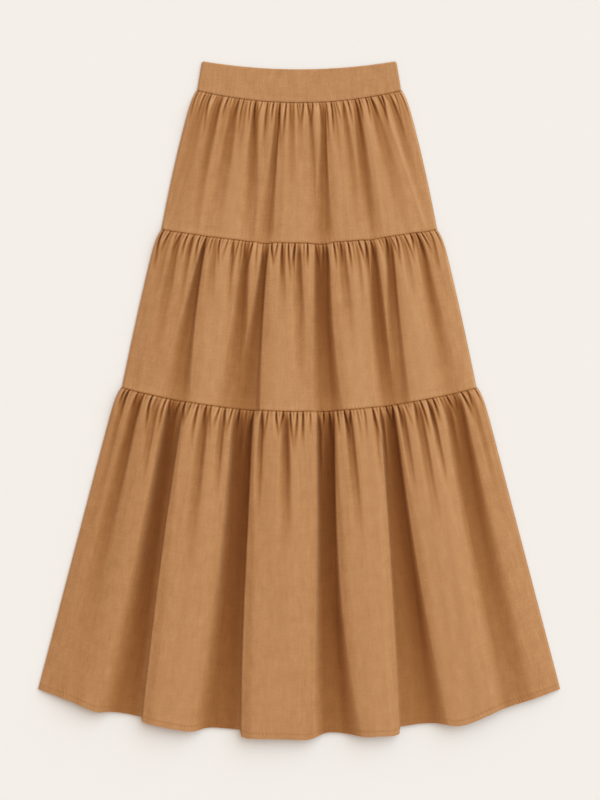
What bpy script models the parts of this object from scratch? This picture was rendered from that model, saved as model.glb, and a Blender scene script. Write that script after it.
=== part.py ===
"""A gathered maxi skirt of three tiers, laid flat: a plain waistband, and three tiers that
each hang from a gathered seam, every one as a front panel lying on a back panel.

Metres. X runs across the skirt, +Y towards the waist, +Z up from the table it lies on.
The origin is the centre of the skirt's outline, on the table.
"""

import math
import random
from collections import namedtuple

import bpy

# Thickness of the cloth, and the gap between sewn pieces.
BACK_WALL = 0.0012
FRONT_WALL = 0.0015
BAND_WALL = 0.0024
SEAM_GAP = 0.0003
FRONT_UNDER = BACK_WALL + SEAM_GAP  # lowest place of a front piece's under face
LOW_TOP = FRONT_UNDER + FRONT_WALL  # upper face of a front panel where it lies flat

# Outline. A place across the skirt is u, from -1 at the left side seam to 1 at the right
# one, and a place down a tier is v, from 0 at its gathered seam to 1 at its lower edge.
LENGTH = 1.050
TOP_Y = LENGTH / 2
SHOULDER_LENGTH = 0.012  # how fast a tier flares out below its seam
SIDE_POWER = 8  # how suddenly ripples and swelling die away at a side seam
BACK_INSET = 0.0006  # the back pieces stop just inside the front ones
BACK_HEM_RISE = 0.003
BACK_ROWS = (0.0, 0.05, 0.15, 0.5, 1.0)  # values of v
BACK_STEP = 3  # the back pieces use every third point of a gathered seam
BAND_COLUMNS = 24

# Gathers: the small pleats that a seam pulls the next tier into.
GATHER_DEPTH = 0.0027
GATHER_AT_SEAM = 0.35  # share of the depth left where the seam pins them
GATHER_LENGTH = 0.075
GATHER_JITTER = 0.24  # share of the spacing
GATHER_TOPS = (0.34, 0.68)  # where the two shoulders of a gather lie between two grooves
GATHER_ROWS = (0.0, 0.004, 0.014, 0.038)  # distances below the seam
PUFF = 0.0013  # how far the cloth swells just below a gathered seam
PUFF_LENGTH = 0.030
DITCH = 0.0009  # how far a gathered edge lies below the piece it is sewn to
ALLOWANCE_LIFT = 0.0008  # the seam allowances raise a tier's lower edge
ALLOWANCE_DEPTH = 0.010

# Large folds: crowned ridges between valleys that lie on the back panel.
STEEP_RUN = 0.011  # run of a ridge's left flank
SOFT_RUN = 0.017  # run of its right flank
EDGE_RUN = 0.038  # run from a side seam to the first ridge
MOST_RISING = 0.42  # a flank takes up at most this share of a narrow ridge
MOST_FALLING = 0.45
MID_FLANK = 0.42  # where the extra point of a rounded flank lies
CROWN = 0.12  # how much higher the middle of a ridge is, as a share of its height
EDGE_DEPTH = 0.88
DEEP = 0.5  # valleys this deep get rounded flanks
MEAN_DEPTH = 0.35  # depth at which a seam is pulled neither down nor up
HEM_LIFT = 0.0124  # a full valley's hem is drawn up this far at the centre

# Under face: its points shift sideways by at most this share of the face beside them, and
# lie at most this far below the upper face.
MOST_SHIFT = 0.3
MOST_DROP = 0.0036
SHARP_ANGLE = math.radians(60)
CLOTH_COLOUR = (0.50, 0.25, 0.107)
CLOTH_ROUGHNESS = 0.9

# A seam or free edge: how far below the waistband's top corners it meets the side, how
# much lower it hangs at the centre, and how far the valleys above it pull it down.
Seam = namedtuple("Seam", "side dip ripple")
WAIST_EDGE = Seam(side=0.0, dip=0.0122, ripple=0.0)
WAIST_SEAM = Seam(side=0.0450, dip=0.0190, ripple=0.0)
UPPER_SEAM = Seam(side=0.2600, dip=0.0236, ripple=0.0030)
LOWER_SEAM = Seam(side=0.5055, dip=0.0370, ripple=0.0010)
HEM = Seam(side=0.9720, dip=0.0780, ripple=0.0)
BAND_TOP_HALF = 0.150
BAND_LOW_HALF = 0.158

# One row for each valley, as shares of the half width: its left and right feet at the
# tier's top and lower edge, and its depth as a share of the ridge height there.
Valley = namedtuple("Valley", "left_top right_top left_low right_low depth_top depth_low")

TIER_1_VALLEYS = [
    Valley(-0.905, -0.860, -0.970, -0.925, 0.8, 0.2),
    Valley(-0.790, -0.740, -0.790, -0.750, 0.9, 0.2),
    Valley(-0.625, -0.578, -0.655, -0.610, 0.8, 0.2),
    Valley(-0.430, -0.380, -0.400, -0.350, 0.9, 0.4),
    Valley(-0.240, -0.185, -0.275, -0.205, 1.0, 0.9),
    Valley(-0.085, -0.060, -0.080, -0.050, 0.6, 0.1),
    Valley(0.085, 0.110, 0.060, 0.085, 0.6, 0.2),
    Valley(0.200, 0.250, 0.130, 0.215, 1.0, 1.0),
    Valley(0.390, 0.420, 0.375, 0.410, 0.7, 0.2),
    Valley(0.535, 0.575, 0.520, 0.570, 1.0, 0.6),
    Valley(0.655, 0.690, 0.705, 0.745, 0.7, 0.4),
    Valley(0.850, 0.888, 0.935, 0.970, 0.9, 0.2),
]
TIER_2_VALLEYS = [
    Valley(-0.870, -0.835, -0.870, -0.830, 0.8, 0.2),
    Valley(-0.700, -0.655, -0.720, -0.635, 1.0, 0.7),
    Valley(-0.400, -0.355, -0.405, -0.345, 0.8, 0.7),
    Valley(-0.275, -0.220, -0.305, -0.230, 1.0, 1.0),
    Valley(-0.020, 0.010, -0.010, 0.020, 0.6, 0.1),
    Valley(0.125, 0.200, 0.095, 0.215, 1.0, 0.9),
    Valley(0.280, 0.305, 0.300, 0.330, 0.5, 0.1),
    Valley(0.495, 0.540, 0.455, 0.530, 1.0, 1.0),
    Valley(0.630, 0.662, 0.575, 0.620, 1.0, 0.8),
    Valley(0.840, 0.870, 0.840, 0.880, 0.9, 0.4),
]
TIER_3_VALLEYS = [
    Valley(-0.905, -0.865, -0.900, -0.850, 0.9, 0.4),
    Valley(-0.725, -0.640, -0.700, -0.605, 1.0, 1.0),
    Valley(-0.510, -0.490, -0.500, -0.480, 0.5, 0.1),
    Valley(-0.365, -0.255, -0.365, -0.230, 1.0, 1.0),
    Valley(-0.090, -0.068, -0.055, -0.035, 0.6, 0.1),
    Valley(0.095, 0.185, 0.072, 0.190, 1.0, 1.0),
    Valley(0.275, 0.300, 0.300, 0.325, 0.6, 0.1),
    Valley(0.440, 0.520, 0.398, 0.522, 1.0, 1.0),
    Valley(0.630, 0.655, 0.655, 0.680, 0.4, 0.1),
    Valley(0.785, 0.812, 0.765, 0.800, 0.9, 0.5),
    Valley(0.852, 0.888, 0.845, 0.890, 0.9, 0.5),
]

# seam_half, shoulder_half and low_half are half widths at the gathered seam, just under
# it and at the lower edge. ridge_top and ridge_low are the heights of the large folds
# there, and settle is the distance over which they grow out of the seam. body_rows are
# the values of v at which the large folds are shaped.
Tier = namedtuple(
    "Tier",
    "name valleys gathers top low seam_half shoulder_half low_half bulge"
    " ridge_top ridge_low settle body_rows",
)
TIERS = [
    Tier(
        name="tier1", valleys=TIER_1_VALLEYS, gathers=36, top=WAIST_SEAM, low=UPPER_SEAM,
        seam_half=0.1590, shoulder_half=0.1655, low_half=0.2125, bulge=0.0035,
        ridge_top=0.0055, ridge_low=0.0080, settle=0.060, body_rows=(0.30, 0.50, 0.75),
    ),
    Tier(
        name="tier2", valleys=TIER_2_VALLEYS, gathers=44, top=UPPER_SEAM, low=LOWER_SEAM,
        seam_half=0.2131, shoulder_half=0.2235, low_half=0.2748, bulge=0.0020,
        ridge_top=0.0085, ridge_low=0.0115, settle=0.022, body_rows=(0.28, 0.50, 0.75),
    ),
    Tier(
        name="tier3", valleys=TIER_3_VALLEYS, gathers=52, top=LOWER_SEAM, low=HEM,
        seam_half=0.2760, shoulder_half=0.2860, low_half=0.4043, bulge=0.0,
        ridge_top=0.0135, ridge_low=0.0190, settle=0.030,
        body_rows=(0.17, 0.30, 0.45, 0.60, 0.76, 0.90),
    ),
]

# A place across a gathered seam: wave is 1 on top of a gather and -1 between two.
Place = namedtuple("Place", "u wave")
Point = namedtuple("Point", "u x y z")


def lerp(a, b, t):
    return a + (b - a) * t


def smooth(t):
    t = min(max(t, 0.0), 1.0)
    return t * t * (3 - 2 * t)


def flank(t):
    """Rise of a ridge's flank: steep at the foot and level at the top."""
    return math.sin(min(max(t, 0.0), 1.0) * math.pi / 2)


def away_from_side(u):
    return 1 - u**SIDE_POWER


def seam_y(seam, u):
    return TOP_Y - seam.side - seam.dip * (1 - u * u)


def tier_length(tier):
    return tier.low.side - tier.top.side


def tier_above(tier):
    return TIERS[TIERS.index(tier) - 1] if tier is not TIERS[0] else None


def tier_below(tier):
    return TIERS[TIERS.index(tier) + 1] if tier is not TIERS[-1] else None


def half_width(tier, v):
    straight = lerp(tier.shoulder_half, tier.low_half, v) + tier.bulge * 4 * v * (1 - v)
    pulled_in = math.exp(-v * tier_length(tier) / SHOULDER_LENGTH)
    return straight - (tier.shoulder_half - tier.seam_half) * pulled_in


def valleys_at(tier, v):
    """The valleys at one height as (left foot, right foot, depth), with the side seams."""
    rows = [
        (
            lerp(row.left_top, row.left_low, v),
            lerp(row.right_top, row.right_low, v),
            lerp(row.depth_top, row.depth_low, v),
        )
        for row in tier.valleys
    ]
    return [(-2.0, -1.0, EDGE_DEPTH), *rows, (1.0, 2.0, EDGE_DEPTH)]


def flank_runs(tier, v, here, after):
    """Widths, in u, of the two flanks of the ridge between two valleys."""
    half = half_width(tier, v)
    gap = after[0] - here[1]
    rising = EDGE_RUN if here[1] <= -1 else STEEP_RUN
    falling = EDGE_RUN if after[0] >= 1 else SOFT_RUN
    return min(rising / half, MOST_RISING * gap), min(falling / half, MOST_FALLING * gap)


def groove(tier, u, v):
    """How deep the cloth lies: 0 at a ridge's shoulders, less on its crown, 1 in a full valley."""
    rows = valleys_at(tier, v)
    for here, after in zip(rows, rows[1:]):
        if here[0] <= u <= here[1]:
            return here[2]
        if here[1] < u < after[0]:
            rising, falling = flank_runs(tier, v, here, after)
            left = here[2] * (1 - flank((u - here[1]) / rising))
            right = after[2] * (1 - flank((after[0] - u) / falling))
            across = (u - here[1]) / (after[0] - here[1])
            return left + right - CROWN * 4 * across * (1 - across)
    return EDGE_DEPTH


def low_edge_y(tier, u):
    y = seam_y(tier.low, u)
    depth = groove(tier, u, 1.0)
    if tier_below(tier) is None:
        return y + HEM_LIFT * smooth(depth) * (1 - u * u)
    return y - tier.low.ripple * (depth - MEAN_DEPTH) * away_from_side(u)


def top_edge_y(tier, u):
    above = tier_above(tier)
    return low_edge_y(above, u) if above else seam_y(tier.top, u)


def fold_height(tier, u, v):
    """Upper face of a tier's large folds, away from its gathered seam."""
    ridge = lerp(tier.ridge_top, tier.ridge_low, v)
    z = LOW_TOP + ridge * (1 - groove(tier, u, v))
    if tier_below(tier):
        z += ALLOWANCE_LIFT * smooth(1 - (1 - v) * tier_length(tier) / ALLOWANCE_DEPTH)
    return z


def seam_height(tier, u):
    """Upper face of a tier at its gathered seam, just under what it is sewn to."""
    above = tier_above(tier)
    return (fold_height(above, u, 1.0) if above else FRONT_UNDER + BAND_WALL) - DITCH


def front_height(tier, u, v, wave=0.0):
    below = v * tier_length(tier)
    z = lerp(seam_height(tier, u), fold_height(tier, u, v), smooth(below / tier.settle))
    swollen = smooth(below / GATHER_ROWS[1])
    z += PUFF * swollen * math.exp(-below / PUFF_LENGTH) * away_from_side(u)
    depth = GATHER_DEPTH * lerp(GATHER_AT_SEAM, 1.0, swollen) * (1 - smooth(below / GATHER_LENGTH))
    return max(z + wave * depth / 2, LOW_TOP)


def gather_places(tier):
    """The points across that shape a tier's gathers: a groove and two shoulders for each."""
    rng = random.Random(tier.gathers)
    spacing = 2.0 / tier.gathers
    grooves = [
        -1 + spacing * (i + 0.5 + rng.uniform(-GATHER_JITTER, GATHER_JITTER))
        for i in range(tier.gathers)
    ]
    places = [Place(-1.0, 0.0)]
    for here, after in zip(grooves, grooves[1:]):
        places.append(Place(here, -1.0))
        places += [Place(lerp(here, after, share), 1.0) for share in GATHER_TOPS]
    return [*places, Place(grooves[-1], -1.0), Place(1.0, 0.0)]


def fold_places(tier, v):
    """The points across that shape the large folds at one height."""
    places = [-1.0]
    rows = valleys_at(tier, v)
    for here, after in zip(rows, rows[1:]):
        rising, falling = flank_runs(tier, v, here, after)
        left, right = here[1], after[0]
        if here[2] > DEEP and left > -1:
            places.append(left + rising * MID_FLANK)
        places += [left + rising, (left + rising + right - falling) / 2, right - falling]
        if after[2] > DEEP and right < 1:
            places.append(right - falling * MID_FLANK)
        if right < 1:
            places += [right, after[1]]
    return [*places, 1.0]


def low_edge_places(tier):
    """A tier's lower edge has the points of the gathers sewn to it, so that they fit."""
    below = tier_below(tier)
    return [place.u for place in gather_places(below)] if below else fold_places(tier, 1.0)


def every_third(places):
    return sorted({*places[::BACK_STEP], places[-1]})


def panel_row(tier, v, places, inset=0.0, hem_rise=0.0, flat_z=None):
    """One row of a panel's points. places holds values of u, or places on a gathered seam."""
    row = []
    for place in places:
        u, wave = place if isinstance(place, Place) else (place, 0.0)
        top = top_edge_y(tier, u) - SEAM_GAP / 2
        low = low_edge_y(tier, u) + (SEAM_GAP / 2 if tier_below(tier) else hem_rise)
        z = front_height(tier, u, v, wave) if flat_z is None else flat_z
        row.append(Point(u, u * (half_width(tier, v) - inset), lerp(top, low, v), z))
    return row


def front_rows(tier):
    """Rows of points from the gathered seam down, each with the columns that it needs."""
    length = tier_length(tier)
    rows = [panel_row(tier, below / length, gather_places(tier)) for below in GATHER_ROWS]
    for v in (*tier.body_rows, 1 - ALLOWANCE_DEPTH / length):
        rows.append(panel_row(tier, v, fold_places(tier, v)))
    return [*rows, panel_row(tier, 1.0, low_edge_places(tier))]


def back_rows(tier):
    """The back panel is flat, and its seams have the same points as the pieces beside it."""
    rows = []
    for v in BACK_ROWS:
        places = (-1.0, 0.0, 1.0)
        if v == 0:
            places = every_third([place.u for place in gather_places(tier)])
        elif v == 1:
            places = low_edge_places(tier)
            if tier_below(tier):
                places = every_third(places)
        rows.append(panel_row(tier, v, places, BACK_INSET, BACK_HEM_RISE, BACK_WALL))
    return rows


def band_rows(seam_places, height, inset=0.0):
    """The waistband: a dipping top edge, and a lower edge that fits the top tier's seam."""
    top_places = [-1 + 2 * i / BAND_COLUMNS for i in range(BAND_COLUMNS + 1)]
    rows = []
    for v, places in ((0.0, top_places), (0.5, top_places), (1.0, seam_places)):
        row = []
        for u in places:
            top = seam_y(WAIST_EDGE, u) - inset
            low = seam_y(WAIST_SEAM, u) + SEAM_GAP / 2
            x = u * (lerp(BAND_TOP_HALF, BAND_LOW_HALF, v) - inset)
            row.append(Point(u, x, lerp(top, low, v), height))
        rows.append(row)
    return rows


def join_rows(above, below, first_above, first_below):
    """The faces between two rows of points, which may differ in number."""
    if len(above) == len(below):
        pairs = [(first_above + i, first_below + i) for i in range(len(above))]
        return [(a, b, d, c) for (a, b), (c, d) in zip(pairs, pairs[1:])]
    faces = []
    i = j = 0
    while i < len(above) - 1 or j < len(below) - 1:
        a, b = first_above + i, first_below + j
        above_left = i < len(above) - 1
        below_left = j < len(below) - 1
        if above_left and below_left:
            above_next = above[i].u + above[i + 1].u <= below[j].u + below[j + 1].u
        else:
            above_next = above_left
        if above_next:
            faces.append((a, b, a + 1))
            i += 1
        else:
            faces.append((a, b, b + 1))
            j += 1
    return faces


def under_row(row, wall, lowest, mitred):
    """The row's under face, a wall's thickness inside the section of its upper face.

    The corners of the large folds are mitred. Among the gathers, on a seam and at the sides
    the points stay straight below, so that the gap to the next piece stays even.
    """
    tilts = [math.atan2(b.z - a.z, b.x - a.x) for a, b in zip(row, row[1:])]
    widths = [b.x - a.x for a, b in zip(row, row[1:])]
    under = []
    for i, point in enumerate(row):
        before, after = max(i - 1, 0), min(i, len(tilts) - 1)
        if mitred and 0 < i < len(row) - 1:
            tilt = (tilts[before] + tilts[after]) / 2
            mitre = wall / math.cos((tilts[before] - tilts[after]) / 2)
            most = MOST_SHIFT * min(widths[before], widths[after])
            shift = min(max(mitre * math.sin(tilt), -most), most)
            drop = mitre * math.cos(tilt)
        else:
            steepest = max(abs(tilts[before]), abs(tilts[after]))
            shift, drop = 0.0, min(wall / math.cos(steepest), MOST_DROP)
        under.append((point.x + shift, point.y, max(point.z - drop, lowest)))
    return under


def cloth(name, rows, wall, lowest, low_edge_free=False):
    """A closed wall whose upper face passes through the rows of points."""
    last_mitred = len(rows) - 1 if low_edge_free else len(rows) - 2
    upper_points, under_points, upper = [], [], []
    for k, row in enumerate(rows):
        if k > 0:
            start = len(upper_points)
            upper += join_rows(rows[k - 1], row, start - len(rows[k - 1]), start)
        upper_points += [(point.x, point.y, point.z) for point in row]
        under_points += under_row(row, wall, lowest, len(GATHER_ROWS) <= k <= last_mitred)
    count = len(upper_points)
    under = [tuple(i + count for i in reversed(face)) for face in upper]
    edges = {(face[i], face[(i + 1) % len(face)]) for face in upper for i in range(len(face))}
    rim = [(b, a, a + count, b + count) for a, b in sorted(edges) if (b, a) not in edges]
    mesh = bpy.data.meshes.new(name)
    mesh.from_pydata(upper_points + under_points, [], [*upper, *under, *rim])
    mesh.materials.append(cloth_material(f"{name}_cloth"))
    mesh.shade_smooth()
    mesh.set_sharp_from_angle(angle=SHARP_ANGLE)
    bpy.context.scene.collection.objects.link(bpy.data.objects.new(name, mesh))


def cloth_material(name):
    material = bpy.data.materials.new(name)
    material.use_nodes = True
    shader = material.node_tree.nodes["Principled BSDF"]
    shader.inputs["Base Color"].default_value = (*CLOTH_COLOUR, 1.0)
    shader.inputs["Roughness"].default_value = CLOTH_ROUGHNESS
    shader.inputs["Metallic"].default_value = 0.0
    return material


def main():
    for obj in list(bpy.data.objects):
        bpy.data.objects.remove(obj)
    waist_places = [place.u for place in gather_places(TIERS[0])]
    cloth("waistband_front", band_rows(waist_places, FRONT_UNDER + BAND_WALL), BAND_WALL, FRONT_UNDER)
    back_band = band_rows(every_third(waist_places), BACK_WALL, BACK_INSET)
    cloth("waistband_back", back_band, BACK_WALL, 0.0)
    for tier in TIERS:
        free = tier_below(tier) is None
        cloth(f"{tier.name}_front", front_rows(tier), FRONT_WALL, FRONT_UNDER, free)
        cloth(f"{tier.name}_back", back_rows(tier), BACK_WALL, 0.0, free)


main()
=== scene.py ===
import math
import random

import bpy
import numpy as np
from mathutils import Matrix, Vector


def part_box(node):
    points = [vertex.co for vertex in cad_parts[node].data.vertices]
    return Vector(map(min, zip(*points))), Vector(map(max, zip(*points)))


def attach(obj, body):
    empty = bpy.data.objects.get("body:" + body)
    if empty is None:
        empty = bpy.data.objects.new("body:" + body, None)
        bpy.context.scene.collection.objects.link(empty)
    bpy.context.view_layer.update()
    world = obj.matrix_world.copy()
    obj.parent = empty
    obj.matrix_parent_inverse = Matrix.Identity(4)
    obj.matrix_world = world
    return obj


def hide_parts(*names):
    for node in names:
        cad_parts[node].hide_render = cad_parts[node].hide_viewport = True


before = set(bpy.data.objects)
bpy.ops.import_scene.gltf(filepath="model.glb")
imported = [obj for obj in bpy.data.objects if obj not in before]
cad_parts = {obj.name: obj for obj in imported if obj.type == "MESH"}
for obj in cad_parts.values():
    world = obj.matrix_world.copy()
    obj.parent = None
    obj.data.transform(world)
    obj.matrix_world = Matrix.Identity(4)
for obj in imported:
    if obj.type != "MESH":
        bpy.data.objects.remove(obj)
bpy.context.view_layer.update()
print("frame loaded")

# The whole skirt, in metres. Across is u, -1 at the left side seam and 1 at the right one.
# Down a tier is v, 0 at its gathered seam and 1 at its lower edge.
skirt = {
    "waistY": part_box("waistband_front")[1].y,  # the waistband's two top corners
    "hemHalf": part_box("tier3_front")[1].x,
    "cloth": 0.0007,  # thickness of the woven cloth
    "backTop": 0.0012,  # highest place of the back panels
    "lowTop": 0.0026,  # upper face of a front panel on a valley's floor
    "sink": 0.0004,  # how far below that a groove may still go
    "sinkRounding": 0.0007,
    "seamGap": 0.0003,
    "clear": 0.0001,  # least height of a front panel above the back one
    "shoulder": 0.012,  # how fast a tier flares out below its seam
    "sidePower": 8,  # how suddenly ripples die away at a side seam
    "sideDepth": 0.96,
    "sideRoll": 0.0035,  # the last stretch, which turns down to the side seam
    "ridgeWaves": (0.045, 16.0, 3.0),  # height of the waves along the ridges, and how many across and down
    "clothWaves": (  # seed, height, how many across and down, and how many are added up
        (3, 0.00025, 24.0, 9.0, 7), (4, 0.00022, 68.0, 3.0, 9),
    ),
    "crown": 0.12,  # how much higher the middle of a ridge is
    "evenShare": 0.65,  # cloth this high leaves the seam below it where it is
}

# How far below the waist corners each line meets the side, how much lower it hangs at the
# centre, and how far the valleys pull it down.
lines = {
    "waistEdge": (0.0, 0.0122, 0.0),
    "waistSeam": (0.0450, 0.0190, 0.0),
    "upperSeam": (0.2600, 0.0236, 0.0042),
    "lowerSeam": (0.5055, 0.0370, 0.0010),
    "hem": (0.9720, 0.0780, 0.0),
}


def lerp(a, b, t):
    return a + (b - a) * t


def smooth(t):
    t = np.clip(t, 0.0, 1.0)
    return t * t * (3 - 2 * t)


# z, eased so that it never goes under lowest.
def softFloor(z, lowest, rounding):
    return lowest + rounding * np.logaddexp(0.0, (z - lowest) / rounding)


# A curve through values given at v = 0, 0.5 and 1, or a line through two.
def through(values, v):
    if len(values) == 2:
        return lerp(values[0], values[1], v)
    top, mid, low = values
    return top * (1 - v) * (1 - 2 * v) + mid * 4 * v * (1 - v) + low * v * (2 * v - 1)


# One valley between two folds: where its left and right edges are half way down and its depth,
# each at v = 0, 0.5 and 1; the run of the slope into it and out of it, in millimetres; how much
# of the painted shade that deepens its colour its left side has; how much of that painted shade a
# steep right side takes away; and the place across and the height of a small raised strip in it, just below
# the seam.
def valley(left, right, depth, into=(3, 12, 22), out=(3, 11, 20),
           leftShade=0.70, wallShade=(0.10, 1.0), strip=(0.5, 0.0)):
    return {"left": left, "right": right, "depth": depth, "into": into, "out": out,
            "leftShade": leftShade, "wallShade": wallShade, "strip": strip}


# In each tier, "ridge" is how high its folds stand from top to bottom, and "settle" how far below
# the seam a valley and a ridge reach their height. "puff" lifts the cloth below the seam, and
# "ditch" sinks it in the seam. "sideRun" is how far in from the sides the folds die away.
# "shade" and "ridgeShade" are painted shade that deepens the colour of valleys and ridges, and
# "betweenGathers" is a painted highlight that makes it paler between the grooves.
topTier = {
    "name": "top_tier", "node": "tier1", "gathers": 36, "top": "waistSeam", "low": "upperSeam",
    "seamHalf": 0.1590, "shoulderHalf": 0.1640, "lowHalf": 0.2135, "bulge": 0.0025,
    "ridge": (0.0075, 0.0090), "settle": (0.028, 0.018), "gatherDepth": 0.0042, "longest": 0.085,
    "puff": 0.0030, "ditch": 0.0009, "sideRun": 0.055, "columns": 541, "cut": (0.44, 0.225), "seed": 11,
    "shade": (0.83, 0.66, 0.28), "ridgeShade": 0.01, "betweenGathers": 0.65,
    "crests": [  # thin raised creases, with a painted highlight along them
        {"place": (0.762, 0.848, 0.920), "pale": 1.0},
        {"place": (-0.815, -0.905, -0.965), "pale": 0.50},
        {"place": (0.600, 0.610, 0.620), "pale": 0.35},
    ],
    "valleys": [
        valley((-0.957, -0.944, -0.94), (-0.932, -0.905, -0.90), (0.50, 0.15, 0.0)),
        valley((-0.892, -0.920, -0.95), (-0.850, -0.870, -0.90), (0.75, 0.20, 0.03)),
        valley((-0.786, -0.800, -0.81), (-0.728, -0.746, -0.75), (1.0, 0.40, 0.03)),
        valley((-0.698, -0.690, -0.69), (-0.658, -0.650, -0.65), (0.40, 0.0, 0.0)),
        valley((-0.628, -0.655, -0.70), (-0.572, -0.578, -0.63), (1.0, 0.34, 0.03), (3, 8, 22)),
        valley((-0.531, -0.530, -0.53), (-0.492, -0.485, -0.48), (0.65, 0.0, 0.0)),
        valley((-0.440, -0.422, -0.41), (-0.395, -0.352, -0.34), (1.0, 0.52, 0.18), (3, 8, 22)),
        valley((-0.326, -0.315, -0.31), (-0.286, -0.270, -0.26), (0.55, 0.0, 0.0)),
        valley((-0.222, -0.244, -0.302), (-0.176, -0.194, -0.214), (1.0, 0.85, 0.55), (3, 9, 22),
               (3, 4, 18)),
        valley((-0.098, -0.100, -0.11), (-0.050, -0.040, 0.0), (0.70, 0.10, 0.0)),
        valley((-0.022, -0.018, -0.02), (0.022, 0.030, 0.03), (0.50, 0.0, 0.0)),
        valley((0.082, 0.084, 0.09), (0.108, 0.118, 0.12), (0.90, 0.24, 0.0)),
        valley((0.202, 0.163, 0.102), (0.252, 0.222, 0.228), (1.0, 0.85, 0.55), (3, 9, 20), (3, 5, 20)),
        valley((0.314, 0.306, 0.30), (0.340, 0.345, 0.35), (0.65, 0.0, 0.0)),
        valley((0.392, 0.388, 0.38), (0.426, 0.440, 0.42), (0.80, 0.32, 0.08)),
        valley((0.512, 0.481, 0.488), (0.560, 0.552, 0.566), (1.0, 0.67, 0.36), (3, 10, 24), (4, 20)),
        valley((0.650, 0.680, 0.74), (0.696, 0.770, 0.80), (0.80, 0.30, 0.14)),
        valley((0.737, 0.740, 0.74), (0.780, 0.785, 0.79), (0.60, 0.05, 0.0)),
        valley((0.832, 0.862, 0.90), (0.868, 0.925, 0.95), (0.90, 0.26, 0.10)),
        valley((0.919, 0.926, 0.93), (0.953, 0.960, 0.96), (0.45, 0.0, 0.0)),
    ],
}

middleTier = {
    "name": "middle_tier", "node": "tier2", "gathers": 44, "top": "upperSeam", "low": "lowerSeam",
    "seamHalf": 0.2131, "shoulderHalf": 0.2200, "lowHalf": 0.2748, "bulge": 0.0012,
    "ridge": (0.0115, 0.0130), "settle": (0.026, 0.015), "gatherDepth": 0.0045, "longest": 0.066,
    "puff": 0.0022, "ditch": 0.0008, "sideRun": 0.075, "columns": 601, "cut": (0.60, 0.265), "seed": 23,
    "shade": (0.93, 0.67, 0.38), "ridgeShade": 0.01, "betweenGathers": 0.20, "crests": [],
    "valleys": [
        valley((-0.938, -0.945, -0.95), (-0.908, -0.905, -0.91), (0.40, 0.0, 0.0)),
        valley((-0.862, -0.885, -0.87), (-0.838, -0.825, -0.83), (0.70, 0.22, 0.03)),
        valley((-0.775, -0.777, -0.78), (-0.745, -0.745, -0.745), (0.70, 0.05, 0.0)),
        valley((-0.670, -0.719, -0.766), (-0.650, -0.652, -0.642), (1.0, 0.86, 0.54), (3, 12, 26),
               (4, 5, 18)),
        valley((-0.604, -0.610, -0.61), (-0.580, -0.545, -0.54), (0.50, 0.0, 0.0)),
        valley((-0.475, -0.470, -0.47), (-0.455, -0.440, -0.44), (0.65, 0.0, 0.0)),
        valley((-0.413, -0.410, -0.41), (-0.397, -0.395, -0.39), (0.60, 0.0, 0.0)),
        valley((-0.378, -0.412, -0.448), (-0.350, -0.340, -0.310), (0.95, 0.66, 0.52), (6, 14), (4, 24)),
        valley((-0.246, -0.302, -0.372), (-0.214, -0.234, -0.232), (1.0, 1.0, 0.84), (3, 11, 22),
               (3, 4, 10)),
        valley((-0.128, -0.137, -0.14), (-0.103, -0.090, -0.09), (0.55, 0.0, 0.0)),
        valley((-0.046, -0.042, -0.04), (-0.032, -0.028, -0.03), (0.50, 0.0, 0.0), (4, 12), (4, 12)),
        valley((-0.012, -0.026, -0.01), (0.006, 0.022, 0.026), (0.80, 0.28, 0.03)),
        valley((0.110, 0.098, 0.090), (0.202, 0.194, 0.215), (0.96, 0.94, 0.74), (4, 16), (3, 19),
               strip=(0.50, 0.45)),
        valley((0.268, 0.270, 0.28), (0.315, 0.330, 0.35), (0.65, 0.08, 0.0)),
        valley((0.388, 0.390, 0.39), (0.412, 0.420, 0.42), (0.40, 0.0, 0.0)),
        valley((0.464, 0.450, 0.45), (0.481, 0.464, 0.46), (0.80, 0.10, 0.0), (4, 10), (4, 10)),
        valley((0.505, 0.456, 0.452), (0.536, 0.524, 0.540), (0.95, 0.85, 0.70), (5, 14), (3, 22)),
        valley((0.620, 0.556, 0.532), (0.652, 0.618, 0.598), (0.84, 0.70, 0.52), (3, 11, 22), (4, 5, 16)),
        valley((0.592, 0.590, 0.59), (0.613, 0.605, 0.60), (0.70, 0.0, 0.0), (4, 12), (4, 12)),
        valley((0.712, 0.700, 0.70), (0.745, 0.745, 0.74), (0.45, 0.0, 0.0)),
        valley((0.804, 0.802, 0.80), (0.822, 0.822, 0.82), (0.60, 0.0, 0.0), (4, 12), (4, 12)),
        valley((0.834, 0.806, 0.790), (0.860, 0.866, 0.895), (1.0, 0.52, 0.26), (6, 26), (5, 24)),
        valley((0.906, 0.905, 0.90), (0.930, 0.943, 0.95), (0.45, 0.0, 0.0)),
    ],
}

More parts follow.
